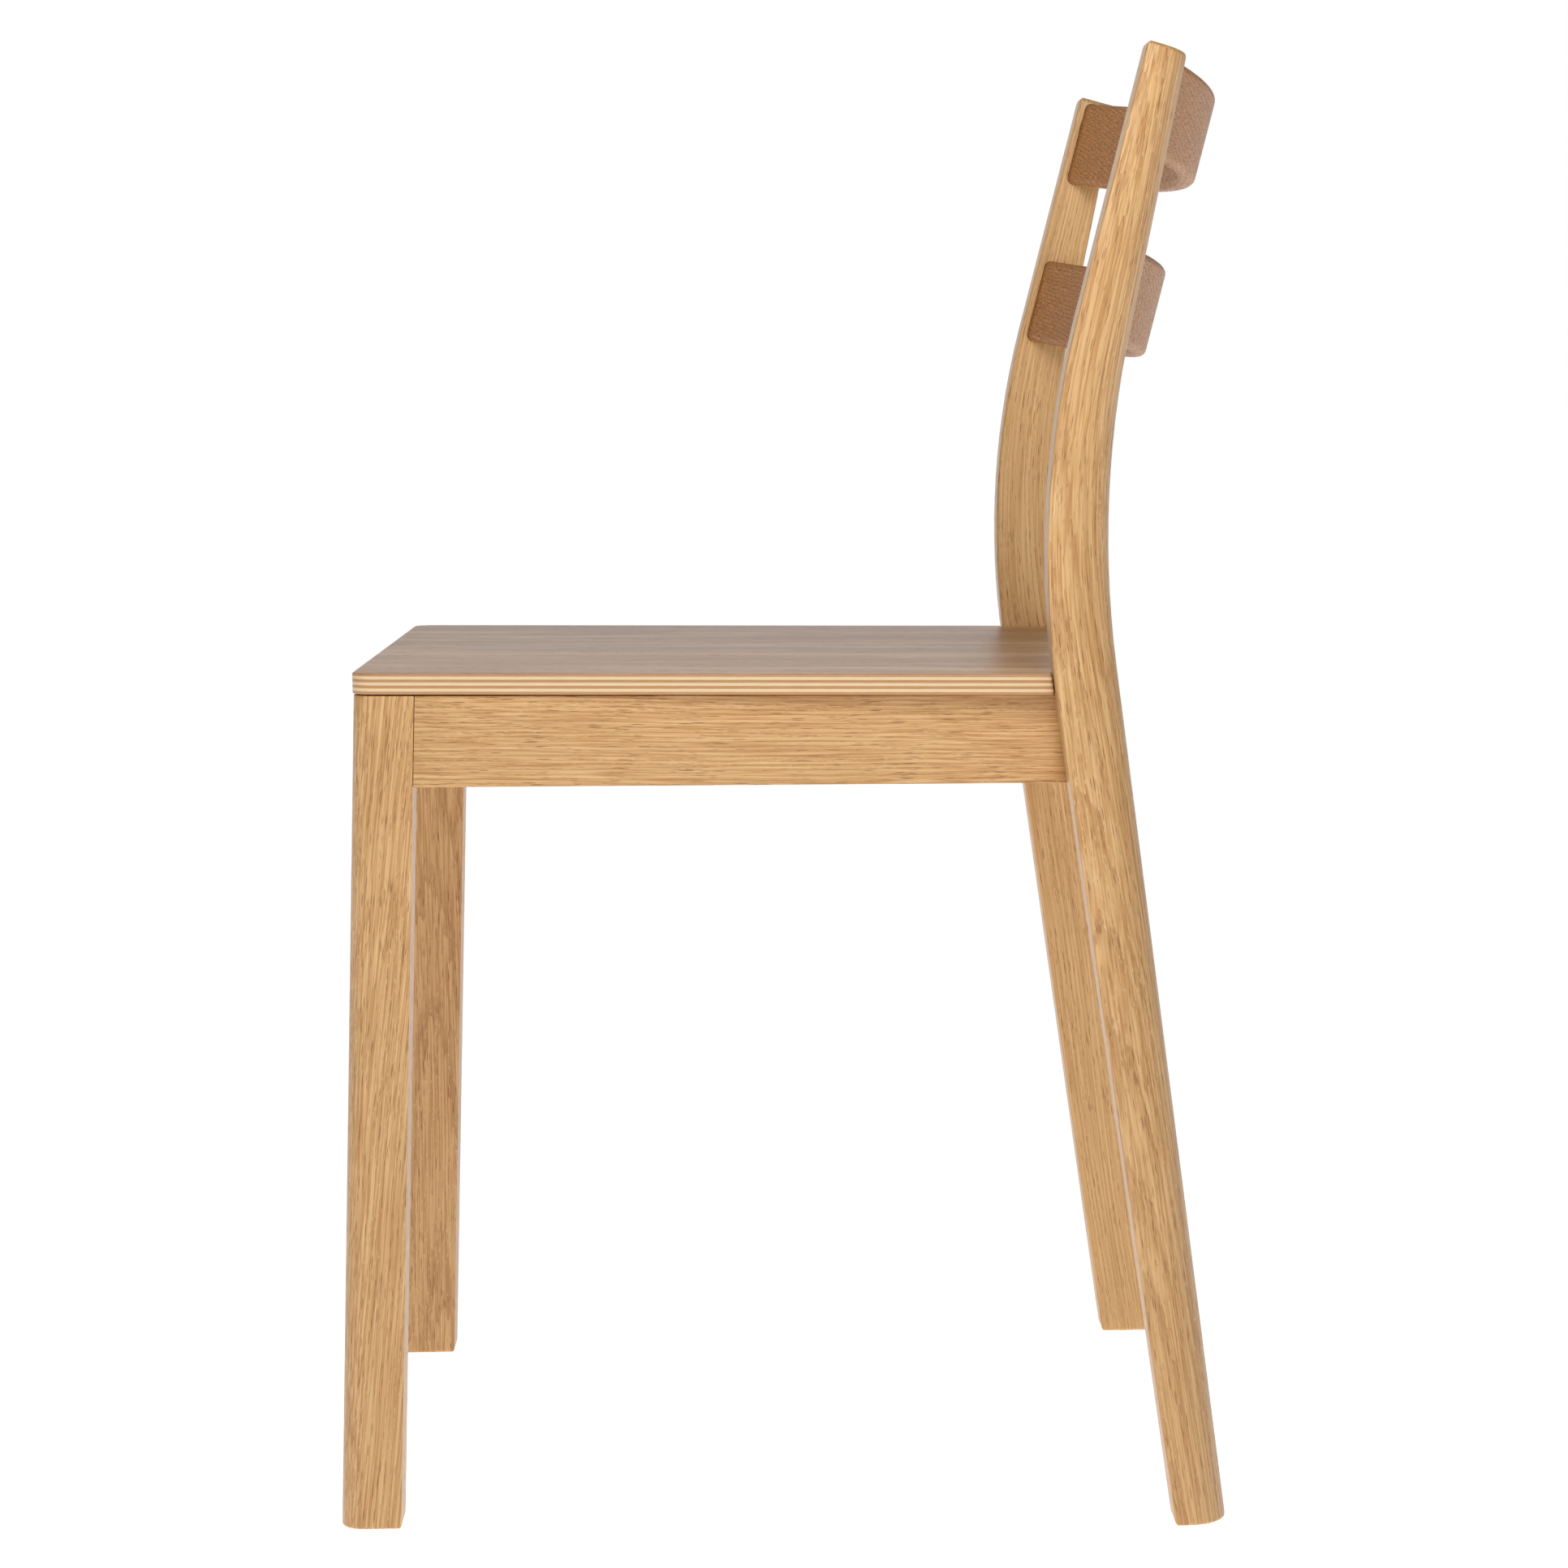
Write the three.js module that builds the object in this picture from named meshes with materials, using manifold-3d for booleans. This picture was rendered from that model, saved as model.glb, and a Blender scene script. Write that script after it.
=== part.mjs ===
// Oak dining chair: plywood seat on a mortised frame, bent one-piece rear legs and two bowed back slats.
// Millimetres. +X is the sitter's left, the front of the seat faces -Y, +Z is up.
// While it is laid out, y = 0 is the front edge of the seat and z = 0 is the floor.
import * as THREE from 'three';
import { mergeVertices } from 'three/addons/utils/BufferGeometryUtils.js';
import Module from 'manifold-3d';

const wasm = await Module();
wasm.setup();

// ---------------------------------------------------------------- driving dimensions
// seat
const SEAT_WIDTH = 450;
const SEAT_HEIGHT = 456.7; // top of the panel at its front edge
const SEAT_SIDE_LENGTH = 365.8; // front edge to the shoulder in front of each upright
const SEAT_TONGUE = 33.4; // the part of the panel that reaches back between the uprights
const SEAT_THICKNESS = 11; // seven veneers
const SEAT_SLOPE = 1.06; // degrees, falling towards the back
const SEAT_CORNER = 12; // plan radius of the two front corners
const SEAT_SMALL_CORNER = 1.2; // plan radius beside the uprights

// front legs
const FRONT_LEG_WIDTH = 30;
const FRONT_LEG_DEPTH = 32.5;
const FRONT_LEG_LEAN = 2.29; // degrees, feet forward
const FRONT_LEG_ROUND = 13; // the outer front corner
const FRONT_LEG_ARRIS = 0.8; // its other three edges
const FRONT_LEG_SETBACK = 0.4; // of the top of the leg, behind the front edge of the seat

// rear legs, each one piece from floor to top
const CHAIR_HEIGHT = 775.5;
const BACK_CLEAR_WIDTH = 426; // between the two rear legs, at the height of the rails
const REAR_LEG_SPREAD = 0.89; // degrees, feet outward
const REAR_LEG_THICKNESS = 28;
const REAR_LEG_SPLAY = 7.4; // degrees, feet backward, below the bend
const BACK_RAKE = 15.13; // degrees, above the bend
const SPREAD_HEIGHT = 430; // where the rear legs are the clear width apart
const BEND_HEIGHT = 540; // where the straight lengths would meet
const BEND_RADIUS_FRONT = 500;
const BEND_RADIUS_BACK = 520;
const REAR_LEG_DEPTH_FOOT = 28.2;
const REAR_LEG_DEPTH_BEND = 35.5;
const REAR_LEG_DEPTH_TOP = 23.1;
const REAR_LEG_ROUND = 22; // the outer back corner
const REAR_LEG_ARRIS = 2; // its other three edges

// rails under the seat
const RAIL_THICKNESS = 19;
const RAIL_HEIGHT_FRONT = 48.1;
const RAIL_HEIGHT_REAR = 46.3;
const SIDE_RAIL_INSET = 1; // outer face behind the seat edge, at the front
const FRONT_RAIL_SETBACK = 3; // behind the front face of the leg
const REAR_RAIL_SETBACK = 9.4; // behind the shoulder of the seat panel

// back slats
const SLAT_HEIGHT = 50.4;
const SLAT_THICKNESS = 10;
const SLAT_SETBACK = 4.2; // behind the front face of the upright
const UPPER_SLAT_BOW = 46;
const LOWER_SLAT_BOW = 43.2;
const UPPER_SLAT_DROP = 2.6; // below the top of the upright, along the rake
const SLAT_PITCH = 99; // top edge to top edge, along the rake

// joints and fastenings
const TENON_THICKNESS = 8;
const TENON_SHOULDER = 6; // wood left above and below each tenon
const LEG_TENON_LENGTH = 12;
const RAIL_TENON_LENGTH = 9;
const SLAT_TENON_THICKNESS = 6;
const SLAT_TENON_LENGTH = 11;
const BLOCK_HEIGHT = 25;
const BLOCK_REACH = 62; // along each rail from the inner corner
const BLOCK_FLAT = 18; // the flat that a screw head bears on
const BLOCK_ARM = 18; // thickness of the block at each flat
const SCREW_RADIUS = 1.8;
const SCREW_HEAD_RADIUS = 3.8;
const SCREW_HEAD_HEIGHT = 2.4;
const RAIL_SCREW_BITE = 12;
const SEAT_SCREW_BITE = 7.5;
const GLIDE_RADIUS = 9;
const GLIDE_PROUD = 1; // the gap between the end of the leg and the floor
const GLIDE_RECESS = 1.6;
const GLIDE_PIN_RADIUS = 1.5;
const GLIDE_PIN_LENGTH = 10;

// clearances
const FIT = 0.3; // between touching pieces
const END_SPACE = 0.7; // beyond the end of a tenon or screw
const SEAT_GAP = 0.8; // shadow gap between the panel and the frame
const NOTCH_GAP = 0.4; // between the panel's shoulder and the upright

// ---------------------------------------------------------------- surfaces and lines
const slope = (degrees) => Math.tan(THREE.MathUtils.degToRad(degrees));
const rake = THREE.MathUtils.degToRad(BACK_RAKE);

const frameX = SEAT_WIDTH / 2 - SIDE_RAIL_INSET; // outer face of front legs and rails
const backX = BACK_CLEAR_WIDTH / 2; // inner face of the rear legs, beside the rails

const seatTop = (y) => SEAT_HEIGHT - y * slope(SEAT_SLOPE);
const seatUnder = (y) => seatTop(y) - SEAT_THICKNESS;
const railTop = (y) => seatUnder(y) - SEAT_GAP;
const blockTop = (y) => seatUnder(y) - FIT;

const rearRailFront = SEAT_SIDE_LENGTH + REAR_RAIL_SETBACK;
const rearRailBack = rearRailFront + RAIL_THICKNESS;
function railBottom(y) {
  const front = railTop(0) - RAIL_HEIGHT_FRONT;
  const rear = railTop(rearRailFront) - RAIL_HEIGHT_REAR;
  return front + ((rear - front) * y) / rearRailFront;
}

const legTop = railTop(0);
const frontLegFace = (z) => FRONT_LEG_SETBACK + (z - legTop) * slope(FRONT_LEG_LEAN);
const frontLegBack = (z) => frontLegFace(z) + FRONT_LEG_DEPTH;
const frontRailFront = frontLegFace(legTop) + FRONT_RAIL_SETBACK;
const frontRailBack = frontRailFront + RAIL_THICKNESS;

// The side rails close in towards the back. Outside, they run just inside the uprights from the
// panel's shoulder on; inside, they are straight.
const sideRailEndX = backX - 2 * FIT;
const lineThrough = (y0, x0, y1, x1) => (y) => x0 + ((x1 - x0) * (y - y0)) / (y1 - y0);
const sideRailTaper = lineThrough(frontLegBack(legTop), frameX, SEAT_SIDE_LENGTH, sideRailEndX);
const sideRailOuter = (y) => sideRailTaper(Math.min(y, SEAT_SIDE_LENGTH));
const sideRailInner = lineThrough(
  frontLegBack(legTop),
  frameX - RAIL_THICKNESS,
  rearRailFront,
  sideRailEndX - RAIL_THICKNESS,
);

// A line from foot to bend to top, with the bend rounded to a radius. Returns y for a height z.
function bentLine(foot, bend, top, radius) {
  const down = foot.clone().sub(bend).normalize();
  const up = top.clone().sub(bend).normalize();
  const half = Math.acos(down.dot(up)) / 2;
  const tangent = radius / Math.tan(half);
  const start = bend.clone().addScaledVector(down, tangent);
  const end = bend.clone().addScaledVector(up, tangent);
  const centre = bend.clone().addScaledVector(down.clone().add(up).normalize(), radius / Math.sin(half));
  return (z) => {
    if (z <= start.y) return bend.x + ((z - bend.y) * down.x) / down.y;
    if (z >= end.y) return bend.x + ((z - bend.y) * up.x) / up.y;
    return centre.x - Math.sqrt(radius ** 2 - (z - centre.y) ** 2);
  };
}

// The front face of the upright is placed by the seat panel's shoulder, by the closer of its two edges.
function uprightFace(shift, depthFoot, depthBend, depthTop, radius) {
  const foot = new THREE.Vector2(shift + BEND_HEIGHT * slope(REAR_LEG_SPLAY) + depthFoot, 0);
  const bend = new THREE.Vector2(shift + depthBend, BEND_HEIGHT);
  const rise = CHAIR_HEIGHT - BEND_HEIGHT;
  const top = new THREE.Vector2(shift + rise * slope(BACK_RAKE) + depthTop, CHAIR_HEIGHT);
  return bentLine(foot, bend, top, radius);
}
const faceAtZero = uprightFace(0, 0, 0, 0, BEND_RADIUS_FRONT);
const shoulderEdges = [seatTop(SEAT_SIDE_LENGTH), seatUnder(SEAT_SIDE_LENGTH)];
const bendY = SEAT_SIDE_LENGTH + NOTCH_GAP - Math.min(...shoulderEdges.map(faceAtZero));
const rearLegFace = uprightFace(bendY, 0, 0, 0, BEND_RADIUS_FRONT);
const rearLegBack = uprightFace(
  bendY,
  REAR_LEG_DEPTH_FOOT,
  REAR_LEG_DEPTH_BEND,
  REAR_LEG_DEPTH_TOP,
  BEND_RADIUS_BACK,
);

// The rear legs lean outward as well, from the middle height of the rails.
const outward = (z) => (SPREAD_HEIGHT - z) * slope(REAR_LEG_SPREAD);

// ---------------------------------------------------------------- solids
function toSolid(geometry) {
  const bare = geometry.clone();
  bare.deleteAttribute('normal');
  bare.deleteAttribute('uv');
  const merged = mergeVertices(bare, 1e-4);
  const vertProperties = new Float32Array(merged.attributes.position.array);
  const triVerts = new Uint32Array(merged.index.array);
  return new wasm.Manifold(new wasm.Mesh({ numProp: 3, vertProperties, triVerts }));
}

function toGeometry(solid) {
  const { vertProperties, triVerts } = solid.getMesh();
  const geometry = new THREE.BufferGeometry();
  geometry.setAttribute('position', new THREE.BufferAttribute(vertProperties, 3));
  geometry.setIndex(new THREE.BufferAttribute(triVerts, 1));
  return geometry;
}

const join = (body, pieces) => pieces.reduce((sum, piece) => sum.add(toSolid(piece)), body);
const cut = (body, tools) => tools.reduce((rest, tool) => rest.subtract(toSolid(tool)), body);

// The same piece for the other side of the chair, turned right side out again.
function mirrored(geometry) {
  const copy = geometry.clone().scale(-1, 1, 1);
  const index = copy.index.array;
  for (let i = 0; i < index.length; i += 3) {
    [index[i], index[i + 1]] = [index[i + 1], index[i]];
  }
  return copy;
}

// A box from limits, grown by a clearance where it is used as a cutter.
function box([x0, x1], [y0, y1], [z0, z1], grow = 0) {
  const size = [x1 - x0 + 2 * grow, y1 - y0 + 2 * grow, z1 - z0 + 2 * grow];
  return new THREE.BoxGeometry(...size).translate((x0 + x1) / 2, (y0 + y1) / 2, (z0 + z1) / 2);
}

// A rod from one point towards a direction.
function rod(start, direction, length, radius, sides = 16) {
  const geometry = new THREE.CylinderGeometry(radius, radius, length, sides).translate(0, length / 2, 0);
  const turn = new THREE.Quaternion().setFromUnitVectors(new THREE.Vector3(0, 1, 0), direction);
  return geometry.applyQuaternion(turn).translate(start.x, start.y, start.z);
}

// A rectangle with its own radius at each corner, listed from the lower left round by the right.
function roundedRectangle([x0, x1], [y0, y1], radii) {
  const corners = [
    [x0, y0, 1, 1, Math.PI],
    [x1, y0, -1, 1, -Math.PI / 2],
    [x1, y1, -1, -1, 0],
    [x0, y1, 1, -1, Math.PI / 2],
  ];
  const shape = new THREE.Shape();
  corners.forEach(([x, y, towardX, towardY, start], i) => {
    const r = radii[i];
    shape.absarc(x + towardX * r, y + towardY * r, r, start, start + Math.PI / 2, false);
  });
  return shape;
}

// Extrudes a plan shape by one unit and then puts every point where place(x, y, level) says.
function shaped(shape, place, steps = 1, curveSegments = 6) {
  const geometry = new THREE.ExtrudeGeometry(shape, {
    depth: 1,
    steps,
    curveSegments,
    bevelEnabled: false,
  });
  const position = geometry.attributes.position;
  for (let i = 0; i < position.count; i += 1) {
    position.setXYZ(i, ...place(position.getX(i), position.getY(i), position.getZ(i)));
  }
  return geometry;
}

const between = (low, high, t) => low + (high - low) * t;

// ---------------------------------------------------------------- materials
const oak = new THREE.MeshStandardMaterial({ color: 0xc8a06c, roughness: 0.5, metalness: 0 });
const slatOak = new THREE.MeshStandardMaterial({ color: 0xb48558, roughness: 0.5, metalness: 0 });
const plywood = new THREE.MeshStandardMaterial({ color: 0xcfae84, roughness: 0.5, metalness: 0 });
const beech = new THREE.MeshStandardMaterial({ color: 0xd2b48a, roughness: 0.6, metalness: 0 });
const steel = new THREE.MeshStandardMaterial({ color: 0xb9b9b4, roughness: 0.35, metalness: 1 });
const plastic = new THREE.MeshStandardMaterial({ color: 0xe6e2d8, roughness: 0.5, metalness: 0 });

const chair = new THREE.Group();
function add(name, geometry, material) {
  const mesh = new THREE.Mesh(geometry, material);
  mesh.name = name;
  mesh.geometry.computeVertexNormals();
  chair.add(mesh);
}
function addPair(name, geometry, material) {
  add(`${name}_left`, geometry, material);
  add(`${name}_right`, mirrored(geometry), material);
}

// ---------------------------------------------------------------- tenons, as limits in x, y and z
const tenonHeights = (y) => [railBottom(y) + TENON_SHOULDER, railTop(y) - TENON_SHOULDER];
const aroundMiddle = (middle, thickness) => [middle - thickness / 2, middle + thickness / 2];
const frontLegInnerX = frameX - FRONT_LEG_WIDTH;

const sideRailFrontTenon = (extra) => {
  const root = frontLegBack(legTop);
  return [
    aroundMiddle(frameX - RAIL_THICKNESS / 2, TENON_THICKNESS),
    [root - LEG_TENON_LENGTH - extra, root + TENON_THICKNESS],
    tenonHeights(root),
  ];
};
const sideRailRearTenon = (extra) => [
  aroundMiddle(sideRailEndX - RAIL_THICKNESS / 2, TENON_THICKNESS),
  [rearRailFront - TENON_THICKNESS, rearRailFront + RAIL_TENON_LENGTH + extra],
  tenonHeights(rearRailFront),
];
const frontRailTenon = (extra) => [
  [frontLegInnerX - TENON_THICKNESS, frontLegInnerX + LEG_TENON_LENGTH + extra],
  aroundMiddle((frontRailFront + frontRailBack) / 2, TENON_THICKNESS),
  tenonHeights(0),
];
const rearRailTenon = (extra) => [
  [backX - TENON_THICKNESS, backX + LEG_TENON_LENGTH + extra],
  aroundMiddle((rearRailFront + rearRailBack) / 2, TENON_THICKNESS),
  tenonHeights(rearRailBack),
];
const tenon = (limits) => box(...limits(0));
const mortise = (limits) => box(...limits(END_SPACE), FIT);

// ---------------------------------------------------------------- back slats
// Each slat is drawn flat in its own frame: x across the chair, y square to its face, z up the face.
const slats = [
  { name: 'upper_back_slat', bow: UPPER_SLAT_BOW, drop: UPPER_SLAT_DROP },
  { name: 'lower_back_slat', bow: LOWER_SLAT_BOW, drop: UPPER_SLAT_DROP + SLAT_PITCH },
];

function slatMatrix({ drop }) {
  const down = drop + SLAT_HEIGHT;
  const y = rearLegFace(CHAIR_HEIGHT) - down * Math.sin(rake) + SLAT_SETBACK * Math.cos(rake);
  const z = CHAIR_HEIGHT - down * Math.cos(rake) - SLAT_SETBACK * Math.sin(rake);
  return new THREE.Matrix4().makeRotationX(-rake).setPosition(0, y, z);
}

// Half the length of a slat, at a height up its face: it ends just short of the leaning uprights.
function slatHalf({ drop }, up) {
  const z = CHAIR_HEIGHT - (drop + SLAT_HEIGHT - up) * Math.cos(rake);
  return backX + outward(z) - FIT;
}

function slatPlan(bow, halfWidth) {
  const radius = (halfWidth ** 2 + bow ** 2) / (2 * bow);
  const outer = radius + SLAT_THICKNESS;
  const centre = bow - radius;
  const inside = Math.asin(halfWidth / radius);
  const outside = Math.asin(halfWidth / outer);
  const upright = Math.PI / 2;
  const shape = new THREE.Shape();
  shape.absarc(0, centre, radius, upright + inside, upright - inside, true);
  shape.absarc(0, centre, outer, upright - outside, upright + outside, false);
  return shape;
}

const slatTenonLimits = (slat) => (extra) => [
  [slatHalf(slat, 0) - SLAT_TENON_THICKNESS, slatHalf(slat, 0) + SLAT_TENON_LENGTH + extra],
  aroundMiddle(SLAT_THICKNESS / 2, SLAT_TENON_THICKNESS),
  [TENON_SHOULDER, SLAT_HEIGHT - TENON_SHOULDER],
];

for (const slat of slats) {
  const half = slatHalf(slat, 0);
  const place = (x, y, level) => {
    const up = level * SLAT_HEIGHT;
    return [(x * slatHalf(slat, up)) / half, y, up];
  };
  const board = shaped(slatPlan(slat.bow, half), place, 1, 20);
  const leftTenon = toGeometry(toSolid(tenon(slatTenonLimits(slat))));
  const body = join(toSolid(board), [leftTenon, mirrored(leftTenon)]);
  add(slat.name, toGeometry(body).applyMatrix4(slatMatrix(slat)), slatOak);
}

// ---------------------------------------------------------------- foot glides
const frontGlideX = frameX - FRONT_LEG_WIDTH / 2 - 1;
const frontGlideY = frontLegFace(GLIDE_PROUD) + FRONT_LEG_DEPTH / 2 + 1;
const rearGlideX = backX + outward(GLIDE_PROUD) + REAR_LEG_THICKNESS / 2 - 1;
const rearGlideY = rearLegFace(GLIDE_PROUD) + REAR_LEG_DEPTH_FOOT / 2 - 1;

function glide(x, y) {
  const rim = 0.4; // softened lower edge
  const top = GLIDE_PROUD + GLIDE_RECESS;
  const profile = [
    [0, 0],
    [GLIDE_RADIUS - rim, 0],
    [GLIDE_RADIUS, rim],
    [GLIDE_RADIUS, top],
    [GLIDE_PIN_RADIUS, top],
    [GLIDE_PIN_RADIUS, top + GLIDE_PIN_LENGTH - GLIDE_PIN_RADIUS],
    [0, top + GLIDE_PIN_LENGTH],
  ].map(([r, z]) => new THREE.Vector2(r, z));
  const turned = new THREE.LatheGeometry(profile, 32).rotateX(Math.PI / 2).translate(x, y, 0);
  return toGeometry(toSolid(turned));
}

function glideSeat(x, y) {
  const up = new THREE.Vector3(0, 0, 1);
  const below = new THREE.Vector3(x, y, -GLIDE_PROUD);
  const recess = 2 * GLIDE_PROUD + GLIDE_RECESS + FIT;
  const pinHole = recess + GLIDE_PIN_LENGTH + END_SPACE;
  return [
    rod(below, up, recess, GLIDE_RADIUS + FIT, 32),
    rod(below, up, pinHole, GLIDE_PIN_RADIUS + FIT),
  ];
}

addPair('front_foot_glide', glide(frontGlideX, frontGlideY), plastic);
addPair('rear_foot_glide', glide(rearGlideX, rearGlideY), plastic);

// ---------------------------------------------------------------- front legs
const frontLegSection = roundedRectangle(
  [frontLegInnerX, frameX],
  [0, FRONT_LEG_DEPTH],
  [FRONT_LEG_ARRIS, FRONT_LEG_ROUND, FRONT_LEG_ARRIS, FRONT_LEG_ARRIS],
);
const frontLegBlank = shaped(frontLegSection, (x, y, level) => {
  const z = between(GLIDE_PROUD, railTop(y), level);
  return [x, y + frontLegFace(z), z];
});
const frontLeg = cut(toSolid(frontLegBlank), [
  mortise(sideRailFrontTenon),
  mortise(frontRailTenon),
  ...glideSeat(frontGlideX, frontGlideY),
]);
addPair('front_leg', toGeometry(frontLeg), oak);

// ---------------------------------------------------------------- rear legs
const bendReach = BEND_RADIUS_BACK * Math.tan((rake + Math.atan(slope(REAR_LEG_SPLAY))) / 2);
const bendSteps = 14;
const rearLegLevels = [GLIDE_PROUD];
for (let i = 0; i <= bendSteps; i += 1) {
  rearLegLevels.push(BEND_HEIGHT + bendReach * ((2 * i) / bendSteps - 1));
}
rearLegLevels.push(CHAIR_HEIGHT);

const rearLegSection = roundedRectangle(
  [backX, backX + REAR_LEG_THICKNESS],
  [0, REAR_LEG_DEPTH_FOOT],
  [REAR_LEG_ARRIS, REAR_LEG_ARRIS, REAR_LEG_ROUND, REAR_LEG_ARRIS],
);
const lastLevel = rearLegLevels.length - 1;
const rearLegBlank = shaped(
  rearLegSection,
  (x, y, level) => {
    const step = Math.round(level * lastLevel);
    const height = rearLegLevels[step];
    const across = y / REAR_LEG_DEPTH_FOOT;
    // The top is sawn square to the rake.
    const fall = step === lastLevel ? across * REAR_LEG_DEPTH_TOP * Math.tan(rake) : 0;
    const z = height - fall;
    return [x + outward(z), between(rearLegFace(z), rearLegBack(z), across), z];
  },
  lastLevel,
);
const slatMortises = slats.map((slat) => mortise(slatTenonLimits(slat)).applyMatrix4(slatMatrix(slat)));
const rearLeg = cut(toSolid(rearLegBlank), [
  mortise(rearRailTenon),
  ...slatMortises,
  ...glideSeat(rearGlideX, rearGlideY),
]);
addPair('rear_leg', toGeometry(rearLeg), oak);

// ---------------------------------------------------------------- corner blocks and their screws
// Each block lies between two rails. It is laid out on the left, with `end` telling front from back.
const ends = {
  front: { railFace: frontRailBack + FIT, inward: 1 },
  rear: { railFace: rearRailFront - FIT, inward: -1 },
};

function blockOutline(end) {
  const { railFace, inward } = ends[end];
  const at = (distance) => railFace + inward * distance;
  const sideX = (y) => sideRailInner(y) - FIT;
  const innerX = sideX(railFace);
  const tailX = innerX - BLOCK_REACH;
  const points = [
    [tailX, at(0)],
    [tailX, at(BLOCK_ARM)],
    [tailX + BLOCK_FLAT, at(BLOCK_ARM)],
    [innerX - BLOCK_ARM, at(BLOCK_REACH - BLOCK_FLAT)],
    [innerX - BLOCK_ARM, at(BLOCK_REACH)],
    [sideX(at(BLOCK_REACH)), at(BLOCK_REACH)],
  ];
  if (end === 'front') {
    // The block is notched round the inner corner of the leg.
    const legX = frontLegInnerX - FIT;
    const legY = frontLegBack(legTop) + FIT;
    points.push([sideX(legY), legY], [legX, legY], [legX, railFace]);
  } else {
    points.push([innerX, railFace]);
  }
  return new THREE.Shape(points.map(([x, y]) => new THREE.Vector2(x, y)));
}

function blockScrews(end) {
  const { railFace, inward } = ends[end];
  const innerX = sideRailInner(railFace) - FIT;
  const z = blockTop(railFace) - BLOCK_HEIGHT / 2;
  const armFace = BLOCK_ARM + FIT;
  const flatMiddle = BLOCK_REACH - BLOCK_FLAT / 2;
  return {
    rail_screw: {
      head: new THREE.Vector3(innerX - flatMiddle, railFace + inward * armFace, z),
      direction: new THREE.Vector3(0, -inward, 0),
      length: armFace + RAIL_SCREW_BITE,
    },
    side_screw: {
      head: new THREE.Vector3(innerX - armFace, railFace + inward * flatMiddle, z),
      direction: new THREE.Vector3(1, 0, 0),
      length: armFace + RAIL_SCREW_BITE,
    },
    seat_screw: {
      head: new THREE.Vector3(
        innerX - BLOCK_REACH / 3,
        railFace + (inward * BLOCK_REACH) / 3,
        blockTop(railFace) - BLOCK_HEIGHT - 3 * FIT,
      ),
      direction: new THREE.Vector3(0, 0, 1),
      length: BLOCK_HEIGHT + 3 * FIT + SEAT_SCREW_BITE,
    },
  };
}

function screw({ head, direction, length }) {
  const profile = [
    [0, -SCREW_HEAD_HEIGHT],
    [SCREW_HEAD_RADIUS * 0.6, -SCREW_HEAD_HEIGHT],
    [SCREW_HEAD_RADIUS, -SCREW_HEAD_HEIGHT / 2],
    [SCREW_HEAD_RADIUS, 0],
    [SCREW_RADIUS, 0],
    [SCREW_RADIUS, length - 2 * SCREW_RADIUS],
    [0, length],
  ].map(([r, along]) => new THREE.Vector2(r, along));
  const turn = new THREE.Quaternion().setFromUnitVectors(new THREE.Vector3(0, 1, 0), direction);
  const turned = new THREE.LatheGeometry(profile, 16).applyQuaternion(turn);
  return toGeometry(toSolid(turned.translate(head.x, head.y, head.z)));
}

const screwHole = ({ head, direction, length }) => rod(
  head.clone().addScaledVector(direction, -FIT),
  direction,
  length + FIT + END_SPACE,
  SCREW_RADIUS + FIT,
);

for (const end of Object.keys(ends)) {
  const screws = blockScrews(end);
  const blank = shaped(blockOutline(end), (x, y, level) => {
    const top = blockTop(y);
    return [x, y, between(top - BLOCK_HEIGHT, top, level)];
  });
  const block = cut(toSolid(blank), Object.values(screws).map(screwHole));
  addPair(`${end}_corner_block`, toGeometry(block), beech);
  for (const [name, fastener] of Object.entries(screws)) {
    addPair(`${end}_${name}`, screw(fastener), steel);
  }
}
const holesFor = (end, name) => screwHole(blockScrews(end)[name]);
const bothSides = (tools) => tools.flatMap((tool) => {
  const left = toGeometry(toSolid(tool));
  return [left, mirrored(left)];
});

// ---------------------------------------------------------------- rails
const railPlace = (x, y, level) => [x, y, between(railBottom(y), railTop(y), level)];

// The front end of the side rail is cut to the lean of the leg.
const sideRailStart = frontLegBack(legTop) + FIT;
const sideRailEnd = rearRailFront - FIT;
const sideRailPlan = new THREE.Shape([
  new THREE.Vector2(sideRailInner(sideRailStart), sideRailStart),
  new THREE.Vector2(sideRailOuter(sideRailStart), sideRailStart),
  new THREE.Vector2(sideRailEndX, SEAT_SIDE_LENGTH),
  new THREE.Vector2(sideRailEndX, sideRailEnd),
  new THREE.Vector2(sideRailInner(sideRailEnd), sideRailEnd),
]);
const sideRailBlank = shaped(sideRailPlan, (x, y, level) => {
  const z = between(railBottom(y), railTop(y), level);
  const start = frontLegBack(z) + FIT;
  return [x, y < start + RAIL_THICKNESS ? start : y, z];
});
const sideRailTenons = [tenon(sideRailFrontTenon), tenon(sideRailRearTenon)];
const sideRail = cut(join(toSolid(sideRailBlank), sideRailTenons), [
  holesFor('front', 'side_screw'),
  holesFor('rear', 'side_screw'),
]);
addPair('side_rail', toGeometry(sideRail), oak);

function crossRail(halfWidth, front, back) {
  const x = halfWidth - FIT;
  const plan = new THREE.Shape([
    new THREE.Vector2(-x, front),
    new THREE.Vector2(x, front),
    new THREE.Vector2(x, back),
    new THREE.Vector2(-x, back),
  ]);
  return toSolid(shaped(plan, railPlace));
}

const frontRail = cut(
  join(crossRail(frontLegInnerX, frontRailFront, frontRailBack), bothSides([tenon(frontRailTenon)])),
  bothSides([holesFor('front', 'rail_screw')]),
);
add('front_rail', toGeometry(frontRail), oak);

const rearRail = cut(
  join(crossRail(backX, rearRailFront, rearRailBack), bothSides([tenon(rearRailTenon)])),
  bothSides([holesFor('rear', 'rail_screw'), mortise(sideRailRearTenon)]),
);
add('rear_rail', toGeometry(rearRail), oak);

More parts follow.
